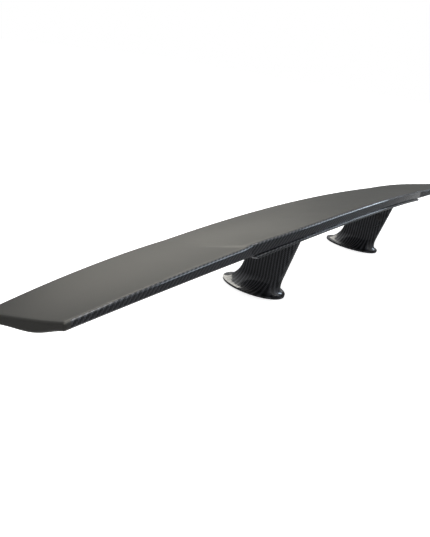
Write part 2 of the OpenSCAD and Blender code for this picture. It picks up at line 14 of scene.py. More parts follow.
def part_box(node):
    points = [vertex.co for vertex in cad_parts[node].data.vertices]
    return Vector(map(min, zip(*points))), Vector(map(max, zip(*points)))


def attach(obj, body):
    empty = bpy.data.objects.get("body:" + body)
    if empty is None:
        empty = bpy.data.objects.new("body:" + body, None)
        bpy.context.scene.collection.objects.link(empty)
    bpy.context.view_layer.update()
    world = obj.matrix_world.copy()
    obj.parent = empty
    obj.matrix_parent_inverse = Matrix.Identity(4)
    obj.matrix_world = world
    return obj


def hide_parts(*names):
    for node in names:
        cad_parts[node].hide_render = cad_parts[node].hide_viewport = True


bl_info = {
    "name": "Racing Rear Wing",
    "version": (1, 0, 0),
    "blender": (4, 5, 0),
    "location": "3D View > Sidebar > Rear Wing",
    "description": "Builds a carbon rear wing on two struts around its frame",
    "category": "Add Mesh",
}

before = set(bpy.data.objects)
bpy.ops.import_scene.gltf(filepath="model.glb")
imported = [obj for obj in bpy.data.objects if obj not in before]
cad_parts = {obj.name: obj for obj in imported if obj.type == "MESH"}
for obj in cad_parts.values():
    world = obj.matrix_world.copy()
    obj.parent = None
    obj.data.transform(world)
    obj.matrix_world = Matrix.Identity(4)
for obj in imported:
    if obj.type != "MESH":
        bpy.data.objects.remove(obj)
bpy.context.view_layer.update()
SIDES = (("left", -1), ("right", 1))


# --------------------------------------------------------------- settings

def length(name, description, default):
    return bpy.props.FloatProperty(
        name=name, description=description, default=default, min=0.0,
        precision=5, unit="LENGTH")


def angle(name, description, degrees):
    return bpy.props.FloatProperty(
        name=name, description=description, default=math.radians(degrees),
        subtype="ANGLE", unit="ROTATION")


def share(name, description, default):
    return bpy.props.FloatProperty(
        name=name, description=description, default=default, min=0.0, max=1.0,
        subtype="FACTOR")


def colour(name, description, default):
    return bpy.props.FloatVectorProperty(
        name=name, description=description, default=default, size=3,
        min=0.0, max=1.0, subtype="COLOR")


class WingSizes(bpy.types.PropertyGroup):
    """Sizes of the blade"""
    half_span: length("Half span", "Half span at the leading edge", 0.686)
    tip_taper: length("Tip taper", "How much shorter each half is at the trailing edge", 0.012)
    crease_half: length("Crease", "Half width of the centre panel at the leading edge", 0.378)
    crease_taper: length("Crease taper", "How much narrower that is at the trailing edge", 0.028)
    nose_forward: length("Nose forward", "Leading-edge crest ahead of the bolt pattern", 0.070)
    blade_height: length("Blade height", "Leading-edge crest above the feet", 0.106)
    chord: length("Chord", "Crest to trailing edge in plan, at the centre", 0.1765)
    skin: length("Skin", "Skin thickness", 0.0022)
    strip: length("Edge strip", "Thickness of the woven trailing-edge strip", 0.0026)
    roll: length("Roll", "Radius from the upper side into the trailing-edge face", 0.0055)
    roll_tip: length("Roll at the tip", "Same radius at the tip", 0.0045)
    under: length("Under round", "Radius under the face at the centre", 0.002)
    under_crease: length("Under round, crease", "Same radius at the crease", 0.004)
    under_tip: length("Under round, tip", "Same radius at the tip", 0.003)
    cap: length("Tip cap", "Tip cap thickness", 0.008)
    cap_round: length("Tip round", "Radius of the rounding around the tip", 0.003)
    shoulder: length("Shoulder", "Height of the raised shoulder on each crease", 0.002)
    lip_short: length("Lip end", "How far the lip stops short of the centre panel's corners", 0.010)
    lip_height: length("Lip height", "Height of the lower lip", 0.005)
    lip_depth: length("Lip depth", "Depth of the lower lip", 0.009)
    lip_slot: length("Lip slot", "Shadow slot above the lower lip", 0.0008)
    lip_proud: length("Lip proud", "How far the lip stands out behind the strip", 0.0012)


class StrutSizes(bpy.types.PropertyGroup):
    """Sizes of the struts, feet and covers"""
    spacing: length("Strut spacing", "Distance between strut centres", 0.400)
    width: length("Strut thickness", "Thickness of a strut", 0.018)
    wall: length("Shell wall", "Wall of the strut shell", 0.003)
    front: length("Front edge", "Front edge at the foot plane", 0.0388)
    rear: length("Rear edge", "Rear edge at the foot plane", 0.0448)
    rake_front: angle("Front rake", "Rake of the front edge from vertical", 17.7)
    rake_rear: angle("Rear rake", "Rake of the rear edge from vertical", 14.0)
    foot_length: length("Foot length", "Length of the oval foot", 0.121)
    foot_width: length("Foot width", "Width of the oval foot", 0.073)
    flange: length("Flange", "Thickness of the foot's flange", 0.004)
    flare: length("Flare", "Height of the flare above the flange", 0.028)
    rim: length("Rim", "Width of the rim around the base plate", 0.007)
    cover_back: length("Cover place", "Strut's rear edge to the cover's middle", 0.0286)
    cover_length: length("Cover length", "Length of the access cover", 0.0462)
    cover_height: length("Cover height", "Height of the access cover", 0.047)
    cover_depth: length("Cover depth", "Depth of the cover's middle below the blade", 0.0325)
    cover_gap: length("Cover gap", "Parting gap around the access cover", 0.0004)
    fastener_radius: length("Fastener radius", "Radius of the quarter-turn head", 0.0075)


class WingFinish(bpy.types.PropertyGroup):
    """Colours and weave of the finishes"""
    tow: length("Tow width", "Width of one carbon tow", 0.002)
    # Painted sheen and shade: warp and weft are the same carbon, with the warp colour lit and the
    # weft colour shaded
    warp_painted_sheen: colour("Warp", "Tows that face the light", (0.094, 0.097, 0.108))
    weft: colour("Weft", "Tows that turn away from it", (0.016, 0.017, 0.020))
    satin: colour("Satin coat", "Upper surface under its satin coat", (0.020, 0.0195, 0.018))
    alloy: colour("Alloy", "Clear-anodised alloy", (0.62, 0.63, 0.65))
    zinc: colour("Zinc", "Zinc-plated steel", (0.55, 0.55, 0.53))
    black_steel: colour("Black steel", "Black-coated steel", (0.012, 0.012, 0.013))
    floor: colour("Floor", "Studio floor", (0.86, 0.86, 0.86))


# ------------------------------------------------------------ blade shape

def mix(a, b, t):
    return a + (b - a) * t


def power(value, p):
    return math.copysign(abs(value) ** p, value)


def ease(t):
    return t * t * (3 - 2 * t)


def drop(radius, ahead):
    """How far a rounding has dropped a surface, ahead of the edge."""
    d = max(0.0, ahead)
    return 0.0 if d >= radius else radius - math.sqrt(radius ** 2 - (radius - d) ** 2)


def along(s, mid, crease, tip, bend=0.0):
    """A size that varies along the span: 0 the middle, 1 the crease, 2 the tip."""
    if s <= 1:
        return mid + (crease - mid) * s * s
    b = s - 1
    return crease + (tip - crease) * ((1 - bend) * b + bend * b * b)


class Blade:
    """The blade's section at any place along the span."""

    lean = math.radians(34.6)

    def __init__(self, sizes):
        self.z = sizes
        self.te_crease = sizes.crease_half - sizes.crease_taper
        self.te_half = sizes.half_span - sizes.tip_taper
        self.cap_s = 2 - sizes.cap / (self.te_half - self.te_crease)

    def le_x(self, s):
        z = self.z
        return s * z.crease_half if s <= 1 else mix(z.crease_half, z.half_span, s - 1)

    def te_x(self, s):
        return s * self.te_crease if s <= 1 else mix(self.te_crease, self.te_half, s - 1)

    def nose_r(self, s):
        return along(s, 0.008, 0.0075, 0.0055)

    def face_h(self, s):
        return along(s, 0.017, 0.0185, 0.0102, 0.5)

    def le(self, s):
        return Vector((self.z.nose_forward - along(s, 0, 0.012, 0.044, 0.5),
                       self.z.blade_height - along(s, 0, 0.0065, 0.019, 0.9)))

    def nose_mid(self, s):
        r = self.nose_r(s)
        return self.le(s) - Vector((r * math.sin(self.lean), r * math.cos(self.lean)))

    def face_mid(self, s):
        le = self.le(s)
        return Vector((le[0] - along(s, self.z.chord, 0.136, 0.1185, 0.5),
                       le[1] + along(s, 0.049, 0.031, 0.0362, 1.875)
                       - self.face_h(s) / 2))

    def chord_line(self, s):
        return self.face_mid(s) - self.nose_mid(s)

    def raised(self, s, c):
        d = (s - 1) / 0.03 if s > 1 else (1 - s) / 0.12
        if d >= 2:
            return 0.0
        return self.z.shoulder * mix(0.5, 1, c * c) * (1 + math.cos(d * math.pi / 2)) / 2

    def square(self, s, c, side):
        """Height of a side before the trailing edge's rounding."""
        h = mix(self.nose_r(s), self.face_h(s) / 2, ease(c))
        if side > 0:
            hollow = along(s, 0.0024, 0.0024, 0.0012)
            return h - hollow * 6.75 * c * c * (1 - c) + self.raised(s, c) * ease(c)
        return h + along(s, 0.004, 0.004, 0.005) * math.sin(math.pi * c ** 1.4) ** 2

    def edge_radius(self, s, side):
        z = self.z
        return along(s, z.roll, z.roll, z.roll_tip) if side > 0 else \
            along(s, z.under, z.under_crease, z.under_tip)

    def height(self, s, c, side):
        return self.square(s, c, side) - drop(self.edge_radius(s, side),
                                              (1 - c) * self.chord_line(s).length)

    def point(self, s, c, side, keep=1.0):
        """A point of the section: c along the chord, side 1 up or -1 down,
        with a share of the height kept."""
        a = abs(s)
        line = self.chord_line(a)
        e = line.normalized()
        up = Vector((e[1], -e[0]))
        out = up.lerp(Vector((0, 1)), c * c).normalized()
        p = self.nose_mid(a) + line * c + out * side * keep * self.height(a, c, side)
        x = math.copysign(1, s) * mix(self.le_x(a), self.te_x(a), c) if s else 0.0
        return Vector((x, p[0], p[1]))

    def nose(self, s, turn, inward=0.0):
        """A point on the nose, turned up (+) or down (-) from its front."""
        a = abs(s)
        e = self.chord_line(a).normalized()
        up = Vector((e[1], -e[0]))
        p = self.nose_mid(a) + (up * math.sin(turn) - e * math.cos(turn)) \
            * (self.nose_r(a) - inward)
        return Vector((math.copysign(1, s) * self.le_x(a) if s else 0.0, p[0], p[1]))

    def back_c(self, s, length):
        return 1 - length / self.chord_line(abs(s)).length

    def side_point(self, s, v, side, start, inward=0.0):
        """From the trailing edge (v = 0) along one side and round the nose (v = 1)."""
        turn = 0.78
        if v <= turn:
            q = v / turn
            c = start * (1 - (0.55 * q + 0.45 * (1 - math.cos(math.pi * q)) / 2))
            return self.point(s, c, side, 1 - inward / self.square(abs(s), c, side))
        q = (v - turn) / (1 - turn)
        return self.nose(s, side * mix(math.pi / 2, 0.0, q), inward)

    def under_z(self, x, y):
        """Height of the underside over a place (x, y)."""
        lo, hi = 0.0, 1.0
        for _ in range(30):
            c = (lo + hi) / 2
            if self.point(self.span_at(x, c), c, -1)[1] > y:
                lo = c
            else:
                hi = c
        c = (lo + hi) / 2
        return self.point(self.span_at(x, c), c, -1)[2]

    def span_at(self, x, c):
        w = mix(self.z.crease_half, self.te_crease, c)
        if x <= w:
            return x / w
        return 1 + (x - w) / mix(self.z.half_span - self.z.crease_half,
                                 self.te_half - self.te_crease, c)


def stations(*runs):
    """Values from runs of (start, stop, steps), without repeats."""
    found = []
    for a, b, n in runs:
        found += [mix(a, b, i / n) for i in range(n + 1)]
    kept = [found[0]]
    for value in found[1:]:
        if value - kept[-1] > 1e-6:
            kept.append(value)
    return kept


def whole_span(end):
    half = stations((0, 0.93, 14), (0.93, 1.07, 20), (1.07, end, 16))
    return [-v for v in reversed(half[1:])] + half


# ------------------------------------------------------------ mesh making

def warped_grid(bm, us, vs, place, weave):
    """Lays a grid on place(u, v), and measures its cloth with weave(u, v)."""
    nu, nv = len(us) - 1, len(vs) - 1
    made = bmesh.ops.create_grid(bm, x_segments=nu, y_segments=nv, size=1.0)
    cloth = bm.loops.layers.uv.get("Cloth") or bm.loops.layers.uv.new("Cloth")
    where = {}
    for v in made["verts"]:
        key = (round((v.co.x + 1) / 2 * nu), round((v.co.y + 1) / 2 * nv))
        where[v] = weave(us[key[0]], vs[key[1]])
        v.co = place(us[key[0]], vs[key[1]])
    faces = {f for v in made["verts"] for f in v.link_faces}
    for f in faces:
        for loop in f.loops:
            loop[cloth].uv = where[loop.vert]
        f.smooth = True
    return list(faces)


def weld(bm, distance=1e-6):
    bmesh.ops.remove_doubles(bm, verts=bm.verts, dist=distance)
    bmesh.ops.dissolve_degenerate(bm, edges=bm.edges, dist=1e-7)


def outward(bm):
    """Turns a closed shape's faces outwards."""
    bmesh.ops.recalc_face_normals(bm, faces=bm.faces)
    if bm.calc_volume(signed=True) < 0:
        bmesh.ops.reverse_faces(bm, faces=bm.faces)


def sharpen(bm, degrees=30.0):
    limit = math.radians(degrees)
    for e in bm.edges:
        e.smooth = len(e.link_faces) == 2 and e.calc_face_angle(0.0) < limit


def soften_edges(bm, width, degrees=35.0, segments=2):
    """Small round on every edge sharper than the given angle."""
    limit = math.radians(degrees)
    edges = [e for e in bm.edges if len(e.link_faces) == 2
             and e.calc_face_angle(0.0) > limit]
    if edges:
        bmesh.ops.bevel(bm, geom=edges, offset=width, offset_type="OFFSET",
                        affect="EDGES", segments=segments, profile=0.5,
                        material=-1, clamp_overlap=True)


def object_from(bm, name):
    mesh = bpy.data.meshes.new(name)
    bm.to_mesh(mesh)
    bm.free()
    made = bpy.data.objects.new(name, mesh)
    bpy.context.scene.collection.objects.link(made)
    return made


def mirrored(piece, name):
    """The left-hand twin of a right-hand piece."""
    bm = bmesh.new()
    bm.from_mesh(piece.data)
    bmesh.ops.transform(bm, matrix=Matrix.Scale(-1, 4, (1, 0, 0)), verts=bm.verts)
    bmesh.ops.reverse_faces(bm, faces=bm.faces)
    twin = object_from(bm, name)
    twin.data.materials.clear()
    for slot in piece.data.materials:
        twin.data.materials.append(slot)
    return twin


def settle(piece, body, material, slot, *nodes):
    """Gives a finished piece its material and its body, and hides the frame nodes it stands for."""
    piece.data.materials.clear()
    piece.data.materials.append(material)
    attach(piece, body)
    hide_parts(*nodes)
    return piece


def carve(piece, cutter, operation="DIFFERENCE"):
    """Cuts a piece with a cutter, and removes the cutter."""
    modifier = piece.modifiers.new("Cut", "BOOLEAN")
    modifier.operation = operation
    modifier.solver = "EXACT"
    modifier.object = cutter
    bpy.context.view_layer.update()
    graph = bpy.context.evaluated_depsgraph_get()
    result = bpy.data.meshes.new_from_object(piece.evaluated_get(graph))
    piece.modifiers.clear()
    old = piece.data
    piece.data = result
    result.name = piece.name
    bpy.data.meshes.remove(old)
    bpy.data.objects.remove(cutter)
    if not piece.data.polygons:
        raise RuntimeError(piece.name + " has no faces left after its cut")
    return piece


def reshape(piece, *steps):
    """Runs mesh steps on an object that already stands."""
    bm = bmesh.new()
    bm.from_mesh(piece.data)
    for step in steps:
        step(bm)
    bm.to_mesh(piece.data)
    bm.free()
    return piece


def frame_copy(node, name, width, degrees=40.0, segments=2):
    """A merged copy of a frame node, with its edges broken."""
    bm = bmesh.new()
    bm.from_mesh(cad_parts[node].data)
    bmesh.ops.remove_doubles(bm, verts=bm.verts, dist=2e-6)
    bmesh.ops.dissolve_degenerate(bm, edges=bm.edges, dist=1e-6)
    bmesh.ops.dissolve_limit(bm, angle_limit=math.radians(0.6), verts=bm.verts,
                             edges=bm.edges, delimit=set())
    soften_edges(bm, width, degrees, segments)
    for f in bm.faces:
        f.smooth = True
    sharpen(bm, 32)
    return object_from(bm, name)


# -------------------------------------------------------------- materials

class Nodes:
    """Short calls for building a node tree."""

    def __init__(self, tree):
        self.tree = tree
        self.column = 0

    def add(self, kind, **settings):
        node = self.tree.nodes.new(kind)
        self.column += 1
        node.location = (self.column * 60, -(self.column % 7) * 160)
        for key, value in settings.items():
            setattr(node, key, value)
        return node

    def feed(self, socket, value):
        if isinstance(value, bpy.types.NodeSocket):
            self.tree.links.new(value, socket)
        else:
            socket.default_value = value

    def math(self, operation, a, b=None, c=None, clamp=False):
        node = self.add("ShaderNodeMath", operation=operation, use_clamp=clamp)
        for socket, value in zip(node.inputs, (a, b, c)):
            if value is not None:
                self.feed(socket, value)
        return node.outputs[0]

    def blend(self, factor, a, b):
        node = self.add("ShaderNodeMix", data_type="RGBA")
        self.feed(node.inputs[0], factor)
        self.feed(node.inputs[6], (*a, 1) if isinstance(a, (tuple, list)) else a)
        self.feed(node.inputs[7], (*b, 1) if isinstance(b, (tuple, list)) else b)
        return node.outputs[2]

    def range(self, value, low, high, start=0.0, stop=1.0):
        node = self.add("ShaderNodeMapRange")
        for socket, given in zip(node.inputs, (value, start, stop, low, high)):
            self.feed(socket, given)
        return node.outputs[0]

    def noise(self, vector, scale, detail=2.0, roughness=0.5):
        node = self.add("ShaderNodeTexNoise")
        self.feed(node.inputs["Vector"], vector)
        node.inputs["Scale"].default_value = scale
        node.inputs["Detail"].default_value = detail
        node.inputs["Roughness"].default_value = roughness
        return node.outputs["Fac"]

    def pack(self, x, y, z=0.0):
        node = self.add("ShaderNodeCombineXYZ")
        for socket, value in zip(node.inputs, (x, y, z)):
            self.feed(socket, value)
        return node.outputs[0]

    def bump(self, height, strength, distance):
        node = self.add("ShaderNodeBump")
        node.inputs["Strength"].default_value = strength
        node.inputs["Distance"].default_value = distance
        self.feed(node.inputs["Height"], height)
        return node.outputs[0]


def surface(name):
    """A new node material with its shader: returns material, nodes and shader."""
    material = bpy.data.materials.new(name)
    material.use_nodes = True
    tree = material.node_tree
    tree.nodes.clear()
    n = Nodes(tree)
    out = n.add("ShaderNodeOutputMaterial")
    shader = n.add("ShaderNodeBsdfPrincipled")
    tree.links.new(shader.outputs[0], out.inputs[0])
    return material, n, shader


def twill(n, tow):
    """2x2 twill laid square to the cloth's own measure: which tow is on top,
    its height, and the grain of its filaments."""
    uv = n.add("ShaderNodeUVMap", uv_map="Cloth").outputs[0]
    split = n.add("ShaderNodeSeparateXYZ")
    n.feed(split.inputs[0], uv)
    u, v = split.outputs[0], split.outputs[1]
    a, b = n.math("DIVIDE", u, tow), n.math("DIVIDE", v, tow)
    i, j = n.math("FLOOR", a), n.math("FLOOR", b)
    fa, fb = n.math("SUBTRACT", a, i), n.math("SUBTRACT", b, j)
    turn = n.math("FLOORED_MODULO", n.math("ADD", i, j), 4.0)
    weft = n.math("GREATER_THAN", turn, 1.5)
    across = n.math("ADD", n.math("MULTIPLY", fb, weft),
                    n.math("MULTIPLY", fa, n.math("SUBTRACT", 1.0, weft)))
    step = n.math("ADD", n.math("MULTIPLY", fa, weft),
                  n.math("MULTIPLY", fb, n.math("SUBTRACT", 1.0, weft)))
    run = n.math("MULTIPLY", n.math("ADD", n.math("SUBTRACT", turn,
                 n.math("MULTIPLY", weft, 2.0)), step), 0.5)
    crown = n.math("SINE", n.math("MULTIPLY", run, math.pi))
    round_ = n.math("SINE", n.math("MULTIPLY", across, math.pi))
    height = n.math("MULTIPLY", n.math("MULTIPLY_ADD", crown, 0.6, 0.4),
                    n.math("POWER", round_, 0.5))
    warp_grain = n.noise(n.pack(n.math("MULTIPLY", a, 14.0), n.math("MULTIPLY", b, 0.7)), 1.0)
    weft_grain = n.noise(n.pack(n.math("MULTIPLY", b, 14.0), n.math("MULTIPLY", a, 0.7)), 1.0)
    grain = n.math("ADD", n.math("MULTIPLY", weft_grain, weft),
                   n.math("MULTIPLY", warp_grain, n.math("SUBTRACT", 1.0, weft)))
    return weft, height, grain


def place_coordinates(n):
    return n.add("ShaderNodeTexCoord").outputs["Object"]


def gloss_carbon(finish):
    """Tows that reflect along their fibres, under a thick clear coat."""
    material, n, shader = surface("Gloss twill carbon")
    weft, height, grain = twill(n, finish.tow)
    spot = n.noise(place_coordinates(n), 22.0, 3.0)
    # Painted sheen and shade: warp tows take the lit colour, weft tows the shaded one
    tone = n.blend(weft, tuple(finish.warp_painted_sheen), tuple(finish.weft))
    # Painted shade: the colour falls towards near black where the tows dip at their edges and under
    # each other, scaled by the real fibre grain and a random mottle
    painted_dip_shade_and_grain = n.math("MULTIPLY", n.range(height, 0.12, 1.0),
                   n.range(grain, 0.75, 1.25, 0.3, 0.7))
    painted_dip_shade_and_grain = n.math("MULTIPLY", painted_dip_shade_and_grain, n.range(spot, 0.88, 1.12, 0.3, 0.7))
    n.feed(shader.inputs["Base Color"], n.blend(painted_dip_shade_and_grain, (0.002, 0.002, 0.0024), tone))
    shader.inputs["Metallic"].default_value = 0.8
    n.feed(shader.inputs["Roughness"], n.range(grain, 0.36, 0.5, 0.3, 0.7))
    shader.inputs["Anisotropic"].default_value = 0.85
    n.feed(shader.inputs["Anisotropic Rotation"], n.range(weft, 0.0, 0.25))
    tangent = n.add("ShaderNodeTangent", direction_type="UV_MAP", uv_map="Cloth")
    n.feed(shader.inputs["Tangent"], tangent.outputs[0])
    shader.inputs["Coat Weight"].default_value = 1.0
    shader.inputs["Coat Roughness"].default_value = 0.04
    shader.inputs["Coat IOR"].default_value = 1.5
    n.feed(shader.inputs["Normal"], n.bump(
        n.math("ADD", height, n.math("MULTIPLY", grain, 0.12)), 0.45, 0.0004))
    return material


def satin_carbon(finish):
    material, n, shader = surface("Satin coated carbon")
    height = twill(n, finish.tow)[1]
    where = place_coordinates(n)
    cloud = n.noise(where, 5.0, 3.0)
    fine = n.noise(where, 900.0, 2.0)
    base = tuple(finish.satin)
    # Partly painted light: the satin colour is lighter on the weave's raised crowns and darker in
    # its dips, mixed with a random cloud of real tone
    tint = n.blend(n.range(n.math("ADD", n.math("MULTIPLY", height, 0.5),
                                  n.math("MULTIPLY", cloud, 0.8)), 0.0, 1.0, 0.2, 0.9),
                   tuple(0.82 * c for c in base), tuple(1.18 * c for c in base))
    n.feed(shader.inputs["Base Color"], tint)
    n.feed(shader.inputs["Roughness"], n.math(
        "ADD", n.range(cloud, 0.37, 0.43, 0.35, 0.65),
        n.math("MULTIPLY", n.math("SUBTRACT", fine, 0.5), 0.04)))
    shader.inputs["Specular IOR Level"].default_value = 0.5
    shader.inputs["Specular Tint"].default_value = (1.0, 0.985, 0.91, 1)
    n.feed(shader.inputs["Normal"], n.bump(
        n.math("ADD", n.math("MULTIPLY", height, 0.35), fine), 0.05, 0.0001))
    return material


def inner_laminate(finish):
    material, n, shader = surface("Raw carbon laminate")
    where = place_coordinates(n)
    mapping = n.add("ShaderNodeMapping")
    mapping.inputs["Rotation"].default_value = (0, 0, math.pi / 4)
    n.feed(mapping.inputs[0], where)
    checker = n.add("ShaderNodeTexChecker")
    n.feed(checker.inputs["Vector"], mapping.outputs[0])
    checker.inputs["Scale"].default_value = 1 / (2 * finish.tow)
    peel = n.noise(where, 700.0, 2.0)
    tone = n.blend(checker.outputs["Fac"], (0.018, 0.018, 0.02), (0.05, 0.05, 0.052))
    n.feed(shader.inputs["Base Color"], n.blend(n.range(peel, 0.0, 0.35), tone,
                                                (0.07, 0.07, 0.07)))
    n.feed(shader.inputs["Roughness"], n.range(peel, 0.5, 0.75))
    n.feed(shader.inputs["Normal"], n.bump(peel, 0.35, 0.0002))
    return material


def machined_alloy(finish):
    material, n, shader = surface("Milled anodised alloy")
    where = place_coordinates(n)
    lines = n.add("ShaderNodeTexWave", wave_type="RINGS", rings_direction="Z")
    n.feed(lines.inputs["Vector"], where)
    lines.inputs["Scale"].default_value = 420.0
    lines.inputs["Distortion"].default_value = 0.6
    lines.inputs["Detail"].default_value = 1.0
    blotch = n.noise(where, 55.0, 4.0, 0.6)
    worn = n.noise(where, 260.0, 3.0, 0.7)
    base = tuple(finish.alloy)
    tone = n.blend(n.range(blotch, 0.0, 1.0, 0.35, 0.65),
                   tuple(0.86 * c for c in base), base)
    tone = n.blend(n.range(worn, 0.0, 0.5, 0.58, 0.75), tone,
                   tuple(0.55 * c for c in base))
    n.feed(shader.inputs["Base Color"], tone)
    shader.inputs["Metallic"].default_value = 1.0
    n.feed(shader.inputs["Roughness"], n.math(
        "ADD", n.range(blotch, 0.27, 0.4, 0.3, 0.7),
        n.math("MULTIPLY", lines.outputs["Fac"], 0.06)))
    n.feed(shader.inputs["Normal"], n.bump(lines.outputs["Fac"], 0.12, 0.0001))
    return material


def plated_steel(finish):
    material, n, shader = surface("Zinc plated steel")
    where = place_coordinates(n)
    cloud = n.noise(where, 180.0, 3.0, 0.6)
    fine = n.noise(where, 1500.0, 2.0)
    base = tuple(finish.zinc)
    n.feed(shader.inputs["Base Color"], n.blend(
        n.range(cloud, 0.0, 1.0, 0.3, 0.7), tuple(0.75 * c for c in base),
        (base[0], base[1] * 0.99, base[2] * 0.93)))
    shader.inputs["Metallic"].default_value = 1.0
    n.feed(shader.inputs["Roughness"], n.range(cloud, 0.24, 0.42, 0.3, 0.7))
    n.feed(shader.inputs["Normal"], n.bump(fine, 0.1, 0.00005))
    return material


def coated_steel(finish):
    material, n, shader = surface("Black coated steel")
    where = place_coordinates(n)
    cloud = n.noise(where, 240.0, 3.0, 0.6)
    rub = n.noise(where, 620.0, 4.0, 0.75)
    base = tuple(finish.black_steel)
    n.feed(shader.inputs["Base Color"], n.blend(
        n.range(rub, 0.0, 1.0, 0.6, 0.74), base, (0.09, 0.09, 0.09)))
    n.feed(shader.inputs["Roughness"], n.range(cloud, 0.28, 0.46, 0.3, 0.7))
    shader.inputs["Specular IOR Level"].default_value = 0.6
    n.feed(shader.inputs["Normal"], n.bump(rub, 0.12, 0.00006))
    return material


MAKERS = {
    "gloss": gloss_carbon,
    "satin": satin_carbon,
    "inner": inner_laminate,
    "alloy": machined_alloy,
    "zinc": plated_steel,
    "black": coated_steel,
}


def finish_of(context, kind):
    """The material of that kind, made once."""
    made = bpy.data.materials.get("rearwing_" + kind)
    if made is None:
        made = MAKERS[kind](context.scene.wing_finish)
        made.name = "rearwing_" + kind
    return made


# ---------------------------------------------------------------- skins

def cloth_on_blade(blade, side, place):
    """Cloth measure over the blade: span distance, and length along the
    section from the trailing edge."""
    lengths = {}

    def measure(s, v):
        if s not in lengths:
            walk, total, last = [], 0.0, None
            for i in range(41):
                p = place(s, i / 40)
                if last is not None:
                    total += (p - last).length
                walk.append(total)
                last = p
            lengths[s] = walk
        at = v * 40
        i = min(int(at), 39)
        return (place(s, v)[0], side * mix(lengths[s][i], lengths[s][i + 1], at - i))
    return measure


def skin_piece(context, side, name):
    sizes = context.scene.wing_sizes
    blade = Blade(sizes)

    def place(s, v):
        return blade.side_point(s, v, side, blade.back_c(s, sizes.strip))

    bm = bmesh.new()
    vs = stations((0, 0.04, 10), (0.04, 0.78, 28), (0.78, 1, 9))
    faces = warped_grid(bm, whole_span(blade.cap_s), vs, place,
                        cloth_on_blade(blade, side, place))
    bm.normal_update()
    middle = min(faces, key=lambda f: (f.calc_center_median()
                                       - place(0.3, 0.4)).length)
    if middle.normal.z * side < 0:
        bmesh.ops.reverse_faces(bm, faces=bm.faces)
    bmesh.ops.solidify(bm, geom=bm.faces, thickness=sizes.skin)
    bm.normal_update()
    for f in bm.faces:
        f.smooth = True
    if bm.calc_volume(signed=True) < 0:
        bmesh.ops.reverse_faces(bm, faces=bm.faces)
    sharpen(bm, 40)
    return object_from(bm, name)


class REARWING_OT_skins(bpy.types.Operator):
    """Upper and lower skins of the blade"""
    bl_idname = "rearwing.skins"
    bl_label = "Blade skins"

    def execute(self, context):
        upper = skin_piece(context, 1, "upper_skin")
        settle(upper, "wing", finish_of(context, "satin"), "carbon_satin",
               "blade_upper_skin")
        lower = skin_piece(context, -1, "lower_skin")
        settle(lower, "wing", finish_of(context, "gloss"), "carbon_gloss",
               "blade_lower_skin")
        return {"FINISHED"}


# ---------------------------------------------------------- edge strips

def rounded(corners, radius, steps=3):
    """A closed outline of 2D points with chosen corners rounded off."""
    made, n = [], len(corners)
    for i, (p, soft) in enumerate(corners):
        if not soft:
            made.append(p)
            continue
        a = (corners[i - 1][0] - p).normalized()
        b = (corners[(i + 1) % n][0] - p).normalized()
        for k in range(steps + 1):
            t = k / steps
            made.append(p + a * radius * (1 - t) ** 2 + b * radius * t ** 2)
    return made


def closed_bar(bm, spans, outline, x_at, cloth_side=1.0):
    """A bar along the span from closed (y, z) outlines, with flat ends."""
    rows = {s: outline(s) for s in spans}
    count = len(rows[spans[0]])
    reach = {}
    for s in spans:
        total, walk = 0.0, [0.0]
        row = rows[s]
        for i in range(count):
            total += (row[(i + 1) % count] - row[i]).length
            walk.append(total)
        reach[s] = walk
    ring = list(range(count + 1))
    warped_grid(bm, spans, ring,
                lambda s, i: Vector((x_at(s), *rows[s][int(i) % count])),
                lambda s, i: (x_at(s), reach[s][int(i)]))
    weld(bm)
    rims = [e for e in bm.edges if len(e.link_faces) == 1]
    bmesh.ops.holes_fill(bm, edges=rims, sides=0)
    outward(bm)


def strip_outline(blade, s):
    """Rolled top, face and rounded underside of the strip."""
    steps = [blade.z.strip * (1 - k / 9) ** 2 for k in range(10)]
    top, low = ([blade.point(s, blade.back_c(s, d), side).yz for d in steps]
                for side in (1, -1))
    return top + low[::-1]


def strip_piece(context, name, spans):
    blade = Blade(context.scene.wing_sizes)
    bm = bmesh.new()
    closed_bar(bm, spans, lambda s: strip_outline(blade, s),
               lambda s: math.copysign(blade.te_x(abs(s)), s) if s else 0.0)
    sharpen(bm, 40)
    return object_from(bm, name)


class REARWING_OT_strips(bpy.types.Operator):
    """Woven strips that close the trailing edge"""
    bl_idname = "rearwing.strips"
    bl_label = "Trailing-edge strips"

    def execute(self, context):
        blade = Blade(context.scene.wing_sizes)
        span = whole_span(blade.cap_s)
        gap = 0.0006
        runs = (("centre_strip", [s for s in span if abs(s) < 1 - gap],
                 "centre_edge_strip"),
                ("left_strip", [s for s in span if s < -1 - gap], "left_edge_strip"),
                ("right_strip", [s for s in span if s > 1 + gap], "right_edge_strip"))
        for name, spans, node in runs:
            if name == "centre_strip":
                spans = [-1 + gap] + spans + [1 - gap]
            elif name == "left_strip":
                spans = spans + [-1 - gap]
            else:
                spans = [1 + gap] + spans
            settle(strip_piece(context, name, spans), "wing",
                   finish_of(context, "gloss"), "carbon_gloss", node)
        return {"FINISHED"}


# ------------------------------------------------------------------ lip

